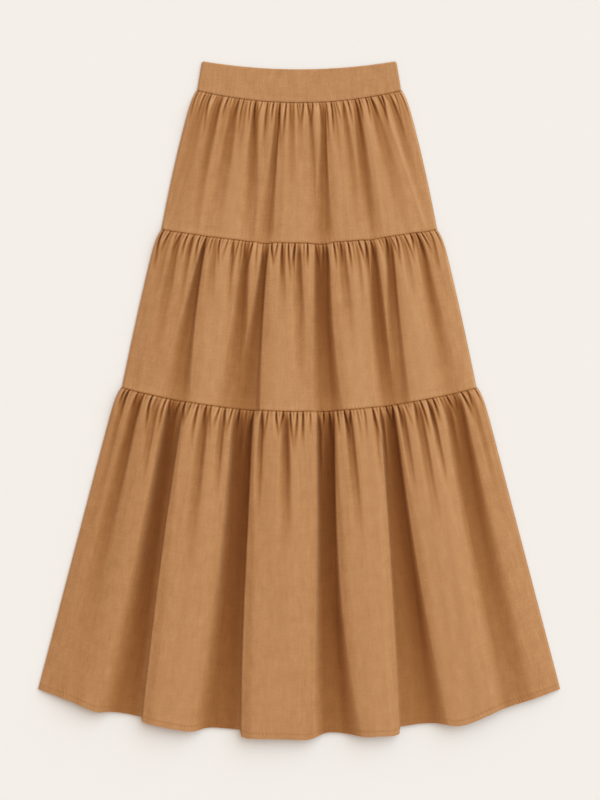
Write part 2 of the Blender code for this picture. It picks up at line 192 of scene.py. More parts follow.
bottomTier = {
    "name": "bottom_tier", "node": "tier3", "gathers": 52, "top": "lowerSeam", "low": "hem",
    "seamHalf": 0.2760, "shoulderHalf": 0.2820, "lowHalf": skirt["hemHalf"], "bulge": 0.0,
    "ridge": (0.0165, 0.0185, 0.0150), "settle": (0.026, 0.018), "gatherDepth": 0.0050, "longest": 0.062,
    "puff": 0.0024, "ditch": 0.0008, "sideRun": 0.100, "columns": 681, "cut": (0.90, 0.515), "seed": 37,
    "shade": (0.90, 0.79, 0.46), "ridgeShade": 0.04, "betweenGathers": 0.10, "crests": [],
    "valleys": [
        valley((-0.968, -0.968, -0.97), (-0.947, -0.945, -0.95), (0.50, 0.05, 0.0)),
        valley((-0.900, -0.922, -0.950), (-0.866, -0.860, -0.860), (1.0, 0.25, 0.07), (8, 34), (3, 22)),
        valley((-0.798, -0.800, -0.80), (-0.768, -0.760, -0.76), (0.50, -0.2, 0.0)),
        valley((-0.722, -0.712, -0.738), (-0.634, -0.622, -0.604), (1.0, 1.0, 0.88), (6, 36), (2.5, 1.8),
               0.80, (0.8, 1.0), (0.74, 0.25)),
        valley((-0.532, -0.535, -0.54), (-0.497, -0.485, -0.47), (0.58, 0.02, 0.0), (7, 26), (5, 24)),
        valley((-0.432, -0.430, -0.43), (-0.406, -0.400, -0.40), (0.55, -0.2, 0.0)),
        valley((-0.360, -0.350, -0.384), (-0.253, -0.244, -0.224), (1.0, 1.0, 0.95), (6, 28), (2.5, 1.8),
               strip=(0.62, 0.35)),
        valley((-0.215, -0.225, -0.23), (-0.195, -0.195, -0.19), (0.62, -0.14, 0.0)),
        valley((-0.090, -0.100, -0.105), (-0.062, -0.045, -0.030), (0.76, -0.03, 0.04), (7, 30), (5, 26)),
        valley((0.098, 0.086, 0.074), (0.194, 0.170, 0.205), (1.0, 0.98, 0.84), (4, 18), (3, 6, 36),
               strip=(0.30, 0.55)),
        valley((0.250, 0.255, 0.26), (0.284, 0.295, 0.30), (0.60, -0.07, 0.0)),
        valley((0.396, 0.395, 0.39), (0.412, 0.415, 0.42), (0.40, -0.2, 0.0)),
        valley((0.443, 0.413, 0.386), (0.520, 0.518, 0.538), (1.0, 0.97, 0.84), (4, 2.5), (3, 9, 34),
               0.42, strip=(0.28, 0.55)),
        valley((0.543, 0.545, 0.55), (0.570, 0.575, 0.58), (0.55, -0.2, 0.0)),
        valley((0.628, 0.622, 0.62), (0.662, 0.665, 0.67), (0.54, -0.06, 0.0)),
        valley((0.708, 0.706, 0.70), (0.724, 0.730, 0.73), (0.70, -0.26, 0.0)),
        valley((0.790, 0.768, 0.768), (0.884, 0.866, 0.876), (0.92, 0.64, 0.42), (4, 24), (5, 44),
               0.45, strip=(0.42, 0.60)),
        valley((0.929, 0.932, 0.93), (0.950, 0.960, 0.96), (0.50, 0.0, 0.0)),
    ],
}

tiers = [topTier, middleTier, bottomTier]

foldLook = {
    "rounded": 0.18,  # share of a fold's height that rounds off above its crease
    "shoulder": 0.016,  # run of that rounding
    "shoulderAtSeam": 0.25,  # share of the run at the seam, which grows to the whole
    "shoulderGrows": 0.6,
    "waver": 0.0025,
    "softSlope": 8,  # slopes that end longer than this are the ones that a hem's scallop softens
    "fullValley": 0.8,  # valleys that reach this depth part one ridge from the next
    "stripWidth": 0.15,
    "stripRun": 0.13,
    "wallRun": 0.0075,  # how near to a steep right side the painted shade deepens the colour less
    "steep": 0.004,  # a slope this short is steep
    "steepRun": 0.010,
    "crestWidth": 0.0036,
    "crestHeight": 0.0012,
    "crestEnds": (0.20, 0.08),  # how soon a crease starts and ends
}


def lineY(name, u):
    side, dip, _ = lines[name]
    return skirt["waistY"] - side - dip * (1 - u * u)


def tierLength(tier):
    return lines[tier["low"]][0] - lines[tier["top"]][0]


def halfWidth(tier, v):
    straight = lerp(tier["shoulderHalf"], tier["lowHalf"], v) + tier["bulge"] * 4 * v * (1 - v)
    pulledIn = np.exp(-v * tierLength(tier) / skirt["shoulder"])
    return straight - (tier["shoulderHalf"] - tier["seamHalf"]) * pulledIn


# Slow waves, for feet that waver and ridges that aren't quite even.
def slowWaves(u, v, seed, across, down, count=7):
    rng = random.Random(seed)
    total = np.zeros(np.broadcast(u, v).shape)
    for _ in range(count):
        turn = rng.uniform(0, 2 * math.pi)
        a = across * rng.uniform(0.5, 1.5) * rng.choice((-1, 1))
        total += np.sin(a * u + down * rng.uniform(0.4, 1.4) * v + turn)
    return total / math.sqrt(count)


# How far down one edge of a valley is: 0 on the ridge, 1 on the floor. A crease is sharp, and
# the cloth above it is a little rounded.
def edgeFall(outside, run, v):
    quick = smooth(outside / run + 0.5)
    grown = lerp(foldLook["shoulderAtSeam"], 1.0, smooth(v / foldLook["shoulderGrows"]))
    longer = run + foldLook["shoulder"] * grown
    slow = smooth(outside / longer + 0.5 * run / longer)
    return 1 - lerp(quick, slow, foldLook["rounded"])


# Two things for each place: how much of a ridge's height is left, from 0 on a full valley's
# floor to 1 on a ridge, and how much painted shade deepens the colour there.
def folds(tier, u, v, soften=1.0):
    look = foldLook
    half = halfWidth(tier, v)
    u = u + slowWaves(u, v, tier["seed"], 3.0, 5.0) * look["waver"] * np.clip(1 - u**4, 0, 1)
    share = np.ones(np.broadcast(u, v).shape)
    light = np.ones_like(share)
    feet = [-np.ones_like(v)]
    for row in tier["valleys"]:
        left, right = through(row["left"], v), through(row["right"], v)
        depth = np.clip(through(row["depth"], v), 0.0, 1.0)
        into = through(row["into"], v) / 1000 * (soften if row["into"][-1] > look["softSlope"] else 1.0)
        out = through(row["out"], v) / 1000 * (soften if row["out"][-1] > look["softSlope"] else 1.0)
        hollow = depth * edgeFall((left - u) * half, into, v) * edgeFall((u - right) * half, out, v)
        across = np.clip((u - left) / np.maximum(right - left, 1e-6), 0, 1)
        place, raised = row["strip"]
        inStrip = np.exp(-(((across - place) / look["stripWidth"]) ** 2) - (v / look["stripRun"]) ** 2)
        hollow = hollow * (1 - raised * inStrip)
        share = share * (1 - hollow)
        # Painted shade in the valley: deeper towards its right side, less beside a steep right side.
        steep = through(row["wallShade"], v) * (1 - smooth((out - look["steep"]) / look["steepRun"]))
        byWall = steep * np.exp(-((np.clip(right - u, 0, 1) * half / look["wallRun"]) ** 2))
        light = light * (1 - hollow * np.maximum(lerp(row["leftShade"], 1.0, across) - byWall, 0.0))
        if max(row["depth"]) > look["fullValley"]:
            feet += [left, right]
    feet.append(np.ones_like(v))
    toSide = (1 - np.abs(u)) * half / tier["sideRun"]
    share = share * (1 - skirt["sideDepth"] * (1 - np.sin(np.clip(toSide, 0, 1) * math.pi / 2)))
    crown = np.zeros_like(share)
    for left, right in zip(feet[0::2], feet[1::2]):
        across = np.clip((u - left) / np.maximum(right - left, 1e-6), 0, 1)
        crown = crown + 4 * across * (1 - across)
    height, across, down = skirt["ridgeWaves"]
    uneven = 1 + height * slowWaves(u, v, tier["seed"] + 1, across, down)
    share = share * (1 + skirt["crown"] * crown) * uneven
    # Painted shade of the tier: its valleys, and ridgeShade over the whole tier.
    deepened = (1 - light) * through(tier["shade"], v)
    return share, 1 - (1 - deepened) * (1 - tier["ridgeShade"])


# Thin raised creases, with a painted highlight that makes them a little paler than the cloth beside them.
def crestLines(tier, u, v):
    start, end = foldLook["crestEnds"]
    total = np.zeros_like(u)
    for row in tier["crests"]:
        aside = (u - through(row["place"], v)) * halfWidth(tier, v) / foldLook["crestWidth"]
        total += row["pale"] * np.exp(-(aside**2)) * smooth(v / start) * smooth((1 - v) / end)
    return total


def foldShare(tier, u, v, soften=1.0):
    return folds(tier, u, v, soften)[0]


gatherLook = {
    "jitter": 0.24,  # of the spacing, as in the solids
    "depths": (0.40, 1.45),  # share of gatherDepth, least and most
    "shortest": 0.034,
    "fewLong": 1.4,  # above 1, most grooves are nearer to the shortest than to the longest
    "lean": 0.42,  # most sideways drift of a groove, in spacings
    "meet": 0.35,  # share of neighbours that run together into a V
    "meetLength": 0.035,
    "puckers": 0.62,  # share of the gathers with a small pucker beside them
    "puckerPlace": (0.40, 0.60),  # in spacings from the gather
    "puckerLength": (0.008, 0.020),
    "puckerDepth": (0.25, 0.55),  # share of gatherDepth
    "puckerWidth": 0.8,  # share of a groove's
    "width": 0.085,  # of a groove at the seam, in spacings
    "widen": (1.0, 2.5),  # how much a short groove and a long one widen downwards
    "fade": 1.25,
    "sharpness": 1.50,
    "atSeam": 0.40,  # share of the depth where the stitches pin it
    "pinned": 0.0055,
    "puffRise": 0.0032,
    "puffLength": 0.026,
    "shade": 0.88,  # how much painted shade deepens the colour in a groove
    "lineShade": 0.68,  # share of it right at the seam
    "lineRun": 0.005,
    "paleRun": 0.040,  # how far down the painted highlight between grooves reaches
    "rim": 1.40,  # how much paler a painted highlight line along each side of a groove makes it
    "rimAt": 2.3,  # in widths of the groove from its middle
    "rimWidth": 0.85,
    "rimStart": 0.0012,
    "rimRun": 0.055,
    "strips": 0.40,  # how much of a valley's painted shade such a highlight line takes away
    "seamShade": 0.50,  # share of a valley's painted shade at its seam
    "shadeRun": 0.018,
    "seamLine": 0.34,  # how much painted shade deepens the colour in the seam itself
    "seamLineRun": 0.0009,
    "ditchRun": 0.0020,
    "tuck": 0.0016,  # how far a tier goes up under the edge above it
    "tuckAtSide": 0.2,
    "tuckRun": 0.008,
    "floorLift": 0.0052,  # how far the gathers hold a valley's floor up, just below the seam
    "floorRun": 0.060,
}


def seamPlaces(tier):
    rng = random.Random(tier["gathers"])
    spacing = 2.0 / tier["gathers"]
    jitter = gatherLook["jitter"]
    return [-1 + spacing * (i + 0.5 + rng.uniform(-jitter, jitter)) for i in range(tier["gathers"])]


# Depth of the gathers: narrow grooves that start at the seam, drift, widen and die away.
def gatherGrooves(tier, u, below):
    look = gatherLook
    rng = random.Random(tier["seed"])
    spacing = 2.0 / tier["gathers"]
    places = seamPlaces(tier)
    meeting, small = 0, random.Random(tier["seed"] + 50)
    total = np.zeros(np.broadcast(u, below).shape)
    rimHighlights = np.zeros_like(total)
    for i, place in enumerate(places):
        depth = tier["gatherDepth"] * rng.uniform(*look["depths"])
        length = lerp(look["shortest"], tier["longest"], rng.random() ** look["fewLong"])
        lean = rng.uniform(-1, 1) * look["lean"] * 0.5
        if meeting:  # this groove runs into the one before it
            lean, meeting = -look["lean"], 0
        elif i + 1 < len(places) and rng.random() < look["meet"]:
            lean, meeting = look["lean"], 1
            length = max(length, look["meetLength"])
        along = np.maximum(below, 0.0) / length
        centre = place + lean * spacing * smooth(along)
        grown = lerp(*look["widen"], length / tier["longest"])
        width = look["width"] * spacing * (1 + grown * np.clip(along, 0, 1))
        fade = np.clip(1 - along, 0, 1) ** look["fade"]
        apart = np.abs(u - centre) / width
        total += depth * fade * np.exp(-apart ** look["sharpness"])
        # Where a painted highlight line runs along each side of the groove.
        line = np.exp(-(((apart - look["rimAt"]) / look["rimWidth"]) ** 2))
        rimHighlights = np.maximum(rimHighlights, line * np.sqrt(fade) * min(depth / tier["gatherDepth"], 1.0))
        if small.random() < look["puckers"]:
            between = place + spacing * small.uniform(*look["puckerPlace"])
            fade = np.clip(1 - np.maximum(below, 0.0) / small.uniform(*look["puckerLength"]), 0, 1)
            apart = np.abs(u - between) / (look["puckerWidth"] * look["width"] * spacing)
            depth = tier["gatherDepth"] * small.uniform(*look["puckerDepth"])
            total += depth * fade * np.exp(-apart ** look["sharpness"])
    return total, rimHighlights


hemLook = {
    "lift": 0.0124,  # how far a full valley's hem is drawn up
    "turnUp": 0.0095,  # depth of the turned hem
    "extra": 0.0005,  # its added thickness
    "turnRun": 0.0008,
    "creaseDepth": 0.00035,  # along the stitching
    "creaseWidth": 0.0007,
    "soften": 2.2,  # how much longer than a valley's soft slope its scallop is
    "pucker": 0.00026,
    "puckerPitch": 0.0052,
    "puckerLean": 0.35,
    "puckerReach": 1.6,  # in depths of the turned hem
    "puckerSeed": 91,
    "lineShade": 0.30,  # how much painted shade deepens the colour along the stitching
    "edgeShade": 0.6,  # share of that painted shade at the very edge
    "edgeRun": 0.0006,
    "sags": (  # place, drop and width of the lowest scallops
        (-0.76, 0.0042, 0.055), (-0.385, 0.0030, 0.03), (-0.07, -0.0020, 0.11), (0.37, 0.0030, 0.05),
        (0.635, 0.0070, 0.08),
    ),
}


def hemY(u, share):
    y = lineY("hem", u) + hemLook["lift"] * (1 - share) * (1 - u * u)
    for place, drop, width in hemLook["sags"]:
        y = y - drop * np.exp(-(((u - place) / width) ** 2)) * smooth(share)
    return y


def lowEdgeY(tier, u):
    soften = hemLook["soften"] if tier is bottomTier else 1.0
    share = np.clip(foldShare(tier, u, np.ones_like(u), soften), 0, 1)
    if tier is bottomTier:
        return hemY(u, share)
    ripple = lines[tier["low"]][2]
    return lineY(tier["low"], u) - ripple * (skirt["evenShare"] - share) * (1 - u ** skirt["sidePower"])


def topEdgeY(tier, u):
    if tier is topTier:
        return lineY(tier["top"], u)
    return lowEdgeY(tiers[tiers.index(tier) - 1], u)


# The seam allowances lie under a tier's lower edge.
allowanceLook = {
    "lift": 0.0009, "depth": 0.0095,
    "fill": 0.0036, "fillRun": 0.022,  # how far they hold a valley's floor up
    "comb": 0.00030, "combTeeth": 0.62,  # height of their print, and its pitch in gathers
    "combFade": 0.0015,
    "edgeRoll": 0.0007, "rollRun": 0.0014,
}


def foldHeight(tier, u, v, share=None):
    share = foldShare(tier, u, v) if share is None else share
    below, toEdge = v * tierLength(tier), (1 - v) * tierLength(tier)
    held = gatherLook["floorLift"] * np.exp(-((below / gatherLook["floorRun"]) ** 2))
    z = skirt["lowTop"] + held + (through(tier["ridge"], v) - held) * share
    if tier is not bottomTier:
        hollow = np.clip(1 - share, 0, 1)
        z = z + allowanceLook["lift"] * smooth(1 - toEdge / allowanceLook["depth"])
        z = z + allowanceLook["fill"] * hollow * smooth(1 - toEdge / allowanceLook["fillRun"])
    return z


# The seam allowances of the gathers below press through as a faint comb.
def combPrint(tier, u, v):
    if tier is bottomTier:
        return 0.0
    toEdge = (1 - v) * tierLength(tier)
    look = allowanceLook
    near = smooth(1 - toEdge / look["depth"]) * smooth(toEdge / look["combFade"])
    pitch = look["combTeeth"] * 2.0 / tiers[tiers.index(tier) + 1]["gathers"]
    uneven = 0.6 + 0.4 * slowWaves(u, v, tier["seed"] + 2, 30.0, 1.0)
    return look["comb"] * near * uneven * np.cos(2 * math.pi * u / pitch + 3 * np.sin(17 * u))


def inHem(toEdge):
    return smooth(1 - (toEdge - hemLook["turnUp"]) / hemLook["turnRun"])


# What the turned hem adds: its thickness, the line of its stitching and small slanting puckers.
def hemRelief(u, v, toEdge):
    look = hemLook
    crease = np.exp(-(((toEdge - look["turnUp"] + look["turnRun"]) / look["creaseWidth"]) ** 2))
    strength = 0.40 + 0.60 * slowWaves(u, v, look["puckerSeed"], 34.0, 0.0)
    along = u * skirt["hemHalf"] + look["puckerLean"] * toEdge
    puckers = np.sin(2 * math.pi * along / look["puckerPitch"] + 2.2 * np.sin(31 * u))
    reach = look["puckerReach"]
    bell = np.clip(toEdge / look["turnUp"], 0, reach)
    fade = np.clip(bell * (reach - bell) / (reach / 2) ** 2, 0, 1)
    turned = look["extra"] * inHem(toEdge) - look["creaseDepth"] * crease
    return turned + look["pucker"] * strength * puckers * fade


def frontHeight(tier, u, v, share, grooves):
    below, toEdge = v * tierLength(tier), (1 - v) * tierLength(tier)
    look = gatherLook
    if tier is topTier:
        above = np.full_like(u, waistbandLook["height"] + skirt["backTop"])
    else:
        above = foldHeight(tiers[tiers.index(tier) - 1], u, np.ones_like(u))
    settle = lerp(*tier["settle"], np.clip(share, 0, 1))
    z = lerp(above, foldHeight(tier, u, v, share), smooth(below / settle))
    z = z - tier["ditch"] * (1 - smooth(below / look["ditchRun"]))
    soft = 1 - np.abs(u) ** skirt["sidePower"]
    z = z + tier["puff"] * smooth(below / look["puffRise"]) * np.exp(-below / look["puffLength"]) * soft
    z = z - grooves * lerp(look["atSeam"], 1.0, smooth(below / look["pinned"])) + combPrint(tier, u, v)
    for seed, height, across, down, count in skirt["clothWaves"]:
        z = z + height * slowWaves(u, v, tier["seed"] + seed, across, down, count)
    z = softFloor(z, skirt["lowTop"] - skirt["sink"], skirt["sinkRounding"])
    if tier is bottomTier:
        z = z + hemRelief(u, v, toEdge)
    else:
        z = z - allowanceLook["edgeRoll"] * (1 - smooth(toEdge / allowanceLook["rollRun"]))
    toSide = (1 - np.abs(u)) * halfWidth(tier, v)
    rolled = smooth(toSide / skirt["sideRoll"])
    return lerp(skirt["backTop"] + skirt["cloth"], z, rolled)


# Places down a tier, close together at both edges.
def rowsDown(length, finest=0.0006, growth=1.20, widest=0.0115):
    steps = []
    step = finest
    while step < widest:
        steps.append(step)
        step *= growth
    middle = length - 2 * sum(steps)
    count = max(int(round(middle / widest)), 1)
    spans = steps + [middle / count] * count + steps[::-1]
    return np.concatenate([[0.0], np.cumsum(spans)]) / length


def gridFaces(rows, columns, offset=0, flip=False):
    index = np.arange(rows * columns).reshape(rows, columns) + offset
    quads = np.stack([index[:-1, :-1], index[1:, :-1], index[1:, 1:], index[:-1, 1:]], -1).reshape(-1, 4)
    return quads[:, ::-1] if flip else quads


# A closed shell of cloth: an outer face, and an inner one the cloth's thickness inside it.
def clothShell(name, outer, thickness, lowest, cut, wearAndHighlight, shade):
    rows, columns = outer.shape[:2]
    across = np.gradient(outer, axis=1)
    down = np.gradient(outer, axis=0)
    normal = np.cross(down, across)
    normal /= np.linalg.norm(normal, axis=2, keepdims=True)
    inner = outer - normal * np.broadcast_to(thickness, (rows, columns))[..., None]
    inner[:, [0, -1], 0] = outer[:, [0, -1], 0]
    inner[[0, -1], :, 1] = outer[[0, -1], :, 1]
    inner[..., 2] = np.maximum(inner[..., 2], lowest)
    count = rows * columns
    ring = np.concatenate([
        np.arange(columns), np.arange(1, rows) * columns + columns - 1,
        (rows - 1) * columns + np.arange(columns - 2, -1, -1), np.arange(rows - 2, 0, -1) * columns,
    ])
    after = np.roll(ring, -1)
    rim = np.stack([ring, after, after + count, ring + count], -1)
    faces = np.concatenate([gridFaces(rows, columns), gridFaces(rows, columns, count, True), rim])
    points = np.concatenate([outer.reshape(-1, 3), inner.reshape(-1, 3)])
    mesh = bpy.data.meshes.new(name)
    mesh.from_pydata(points.tolist(), [], faces.tolist())
    places = np.concatenate([cut.reshape(-1, 2)] * 2)
    layer = mesh.uv_layers.new(name="cut")
    layer.data.foreach_set("uv", places[faces.reshape(-1)].reshape(-1).astype(np.float32))
    # Per point: wear with painted highlights, and painted shade.
    for label, values in (("wearAndHighlight", wearAndHighlight), ("shade", shade)):
        attribute = mesh.attributes.new(label, "FLOAT", "POINT")
        values = np.clip(np.broadcast_to(values, (rows, columns)), 0, 1)
        attribute.data.foreach_set("value", np.concatenate([values.reshape(-1)] * 2).astype(np.float32))
    mesh.shade_smooth()
    ends = np.empty(len(mesh.edges) * 2, dtype=np.int64)
    mesh.edges.foreach_get("vertices", ends)
    ends = np.sort(ends.reshape(-1, 2), axis=1)
    border = np.sort(np.stack([ring, after], -1), axis=1)
    border = np.concatenate([border, border + count])
    crisp = np.isin(ends[:, 0] * 2 * count + ends[:, 1], border[:, 0] * 2 * count + border[:, 1])
    mesh.attributes.new("sharp_edge", "BOOLEAN", "EDGE").data.foreach_set("value", crisp)
    piece = bpy.data.objects.new(name, mesh)
    bpy.context.scene.collection.objects.link(piece)
    return piece


# Woven linen and cotton: plain weave, slubs both ways, patches of tone, paler worn edges with painted
# highlights, and painted shade in folds, gathers and seams.
clothLook = {
    "colour": (0.433, 0.210, 0.0825),
    "dark": (0.340, 0.150, 0.052),
    "pale": (0.556, 0.299, 0.141),
    "foldShadeColour": (0.30, 0.160, 0.050),  # painted shade: what is left of each colour in the bottom of a fold
    "thread": 0.00072,
    # Noises: their size across and down, detail and turn.
    "warpSlubs": ((0.0015, 0.026, 3.0, 0.0), (0.0060, 0.070, 2.0, 0.03)),
    "weftSlubs": ((0.022, 0.0015, 3.0, 0.0), (0.050, 0.0050, 2.0, 0.02)),
    "fine": (0.0024, 0.0024, 3.0, 0.5),
    "clouds": (0.014, 0.022, 3.0, 0.2),
    "patches": (0.060, 0.085, 3.0, 0.0),
    "contrast": (0.435, 0.735),  # the noise that gives the dark tone and the pale one
    "wornAndLit": 0.78,  # how pale the cloth gets at most from wear and painted highlights
    # How strong each of two things is where they are added up.
    "narrowBroad": (0.6, 0.4),
    "fineClouds": (0.8, 0.6),
    "warpWeft": (0.62, 0.38),
    "slubsMottle": (0.58, 0.42),
    "patchRange": (0.40, 0.45),
    "noiseRoughness": 0.55,
    "roughness": 0.83,
    "roughRange": 0.10,
    "sheen": (0.12, 0.45),  # weight and roughness
    "sheenTint": (1.0, 0.86, 0.70),
    "specular": 0.25,
    "bump": 0.35,
    "bumpDepth": 0.00022,
    "bumpShares": (0.30, 0.5),  # of the weave and of the fine noise, beside the slubs
}


def clothMaterial(name, seed, grain=1.0):
    look = clothLook
    material = bpy.data.materials.new(name)
    material.use_nodes = True
    nodes, links = material.node_tree.nodes, material.node_tree.links
    shader = nodes["Principled BSDF"]

    def setOrLink(socket, value):
        if isinstance(value, (int, float)):
            socket.default_value = value
        elif isinstance(value, tuple):
            socket.default_value = (*value, 1.0)
        else:
            links.new(value, socket)

    def mathNode(kind, a, b):
        node = nodes.new("ShaderNodeMath")
        node.operation = kind
        setOrLink(node.inputs[0], a)
        setOrLink(node.inputs[1], b)
        return node.outputs[0]

    def weighed(a, b, shares):
        return mathNode("ADD", mathNode("MULTIPLY", a, shares[0]), mathNode("MULTIPLY", b, shares[1]))

    def noise(acrossSize, downSize, detail, turn):
        scaled = nodes.new("ShaderNodeMapping")
        scaled.inputs["Location"].default_value = (seed * 3.7, seed * 1.9, seed)
        scaled.inputs["Rotation"].default_value = (0, 0, turn)
        scaled.inputs["Scale"].default_value = (1 / acrossSize, 1 / downSize, 1)
        links.new(place.outputs["UV"], scaled.inputs["Vector"])
        texture = nodes.new("ShaderNodeTexNoise")
        texture.inputs["Scale"].default_value = 1.0
        texture.inputs["Detail"].default_value = detail
        texture.inputs["Roughness"].default_value = look["noiseRoughness"]
        links.new(scaled.outputs["Vector"], texture.inputs["Vector"])
        return texture.outputs["Fac"]

    def slubs(sizes, longer=1.0):
        narrow, broad = (noise(across, down * longer, detail, turn) for across, down, detail, turn in sizes)
        return weighed(narrow, broad, look["narrowBroad"])

    def blendColour(factor, a, b, way="MIX"):
        node = nodes.new("ShaderNodeMix")
        node.data_type = "RGBA"
        node.blend_type = way
        setOrLink(node.inputs["Factor"], factor)
        setOrLink(node.inputs[6], a)
        setOrLink(node.inputs[7], b)
        return node.outputs[2]

    def attribute(label):
        node = nodes.new("ShaderNodeAttribute")
        node.attribute_name = label
        return node.outputs["Fac"]

    place = nodes.new("ShaderNodeUVMap")
    place.uv_map = "cut"
    split = nodes.new("ShaderNodeSeparateXYZ")
    links.new(place.outputs["UV"], split.inputs[0])
    turns = math.pi / look["thread"]
    warp = mathNode("SINE", mathNode("MULTIPLY", split.outputs["X"], turns), 0.0)
    weft = mathNode("SINE", mathNode("MULTIPLY", split.outputs["Y"], turns), 0.0)
    weave = mathNode("MULTIPLY", warp, weft)
    fine = noise(*look["fine"])
    mottle = weighed(fine, noise(*look["clouds"]), look["fineClouds"])
    slubbed = weighed(slubs(look["warpSlubs"], grain), slubs(look["weftSlubs"]), look["warpWeft"])

    contrast = nodes.new("ShaderNodeMapRange")
    contrast.inputs["From Min"].default_value, contrast.inputs["From Max"].default_value = look["contrast"]
    links.new(weighed(slubbed, mottle, look["slubsMottle"]), contrast.inputs["Value"])
    toned = blendColour(contrast.outputs["Result"], look["dark"], look["pale"])
    spread, least = look["patchRange"]
    patched = mathNode("ADD", mathNode("MULTIPLY", noise(*look["patches"]), spread), least)
    threads = blendColour(patched, look["colour"], toned)
    # Wear and painted highlights blend the cloth towards the pale colour.
    wornAndLit = blendColour(mathNode("MULTIPLY", attribute("wearAndHighlight"), look["wornAndLit"]), threads, look["pale"])
    # Painted shade: the colour is multiplied by foldShadeColour raised to the shade attribute.
    shade = attribute("shade")
    deepened = nodes.new("ShaderNodeCombineColor")
    for socket, value in zip(deepened.inputs, look["foldShadeColour"]):
        links.new(mathNode("POWER", value, shade), socket)
    links.new(blendColour(1.0, wornAndLit, deepened.outputs[0], "MULTIPLY"), shader.inputs["Base Color"])
    rough = mathNode("ADD", mathNode("MULTIPLY", fine, look["roughRange"]), look["roughness"])
    links.new(rough, shader.inputs["Roughness"])

    weaveShare, fineShare = look["bumpShares"]
    knotted = mathNode("ADD", slubbed, mathNode("MULTIPLY", fine, fineShare))
    bump = nodes.new("ShaderNodeBump")
    bump.inputs["Strength"].default_value = look["bump"]
    bump.inputs["Distance"].default_value = look["bumpDepth"]
    links.new(mathNode("ADD", mathNode("MULTIPLY", weave, weaveShare), knotted), bump.inputs["Height"])
    links.new(bump.outputs["Normal"], shader.inputs["Normal"])
    shader.inputs["Sheen Weight"].default_value = look["sheen"][0]
    shader.inputs["Sheen Roughness"].default_value = look["sheen"][1]
    shader.inputs["Sheen Tint"].default_value = (*look["sheenTint"], 1.0)
    shader.inputs["Specular IOR Level"].default_value = look["specular"]
    return material


def dressPiece(piece, material, node):
    piece.data.materials.append(material)
    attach(piece, "root")
    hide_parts(node)


# Waistband: two layers of cloth with the top edge folded over.
waistbandLook = {
    "topHalf": 0.1506, "lowHalf": 0.158, "height": 0.0026, "layers": 0.0018,
    "columns": 220, "rows": 26, "cut": (0.31, 0.046), "seed": 5, "grain": 0.8,
    "edgeRound": 0.0016, "corner": 0.0040, "cornerIn": 0.7,
    "rise": (0.0006, 0.010),  # over the gathers' seam allowance: height and run
    "lowRoll": (0.0007, 0.0014),
    "sideRoll": (0.0006, 0.0022),
    "waves": ((7, 0.00012, 16.0, 3.0), (8, 0.00003, 80.0, 1.5)),  # seed, height, how many across and down
    "pulls": (-0.93, -0.89, -0.85, -0.79, 0.91, 0.955),  # places of the small pulls at the side seams
    "pull": 0.00032, "pullWidth": 0.010, "pullLean": 0.02,
    "ripple": (0.00014, 0.009),  # where the gathers pull at its lower edge
    # how much paler its ends are, and over what run
    "endsPaler": (0.5, 0.002),
    "cutSize": (1.02, 0.05), "cutShift": 0.4,
    "backInset": 0.0008, "backLower": 0.0006, "backTop": 0.0011, "backRound": (0.0003, 0.0012),
    "backLayers": 0.0010,
}


def makeWaistband():
    look = waistbandLook
    u = np.linspace(-1, 1, look["columns"])[None, :]
    v = (0.5 - 0.5 * np.cos(np.linspace(0, math.pi, look["rows"])))[:, None]
    top, low = lineY("waistEdge", u), lineY("waistSeam", u) + skirt["seamGap"] / 2
    y = lerp(top, low, v) + 0 * u
    fromTop, fromLow = v * (top - low), (1 - v) * (top - low)
    corner = np.clip(1 - fromTop / look["corner"], 0, 1)
    rounded = look["corner"] * look["cornerIn"] * (1 - np.sqrt(1 - corner**2))
    x = u * (lerp(look["topHalf"], look["lowHalf"], v) - rounded)
    toSide = (1 - np.abs(u)) * look["topHalf"]

    z = skirt["backTop"] + look["height"] + 0 * x
    inEdge = 1 - np.clip(fromTop / look["edgeRound"], 0, 1)
    z = z - look["edgeRound"] * (1 - np.sqrt(1 - inEdge**2))
    height, run = look["rise"]
    z = z + height * smooth(1 - fromLow / run)
    height, run = look["lowRoll"]
    z = z - height * (1 - smooth(fromLow / run))
    for seed, height, across, down in look["waves"]:
        z = z + height * slowWaves(u, v, seed, across, down)
    for place in look["pulls"]:
        pull = np.exp(-(((u - place - look["pullLean"] * v) / look["pullWidth"]) ** 2))
        z = z - look["pull"] * pull * (0.35 + 0.65 * v)
    height, run = look["ripple"]
    gathered = np.cos(math.pi * u * topTier["gathers"] + 4 * np.sin(9 * u))
    z = z + height * gathered * smooth(1 - fromLow / run)
    height, run = look["sideRoll"]
    z = lerp(skirt["backTop"] + height, z, np.sqrt(smooth(toSide / run)))

    outer = np.stack([x, y, z], -1)
    wider, deep = look["cutSize"]
    cut = np.stack([x * wider, v * deep + 0 * x], -1)
    # Painted highlight along the folded top edge, and paler cloth at both ends.
    paler, run = look["endsPaler"]
    wearAndHighlight = smooth(1 - fromTop / look["edgeRound"]) + paler * smooth(1 - toSide / run) + 0 * x
    lowest = skirt["backTop"] + skirt["seamGap"]
    front = clothShell("waistband_front_cloth", outer, look["layers"], lowest, cut, wearAndHighlight, 0.0)
    flat = outer.copy()
    flat[..., 0] *= 1 - look["backInset"] / look["topHalf"]
    flat[..., 1] -= look["backLower"] * (1 - v)
    height, run = look["backRound"]
    flat[..., 2] = look["backTop"] - height * (1 - smooth(np.minimum(fromTop, toSide) / run))
    cut = cut + look["cutShift"]
    back = clothShell("waistband_back_cloth", flat, look["backLayers"], 0.0, cut, wearAndHighlight, 0.0)
    material = clothMaterial("waistband_linen", look["seed"], look["grain"])
    dressPiece(front, material, "waistband_front")
    dressPiece(back, material, "waistband_back")
    print("waistband made")


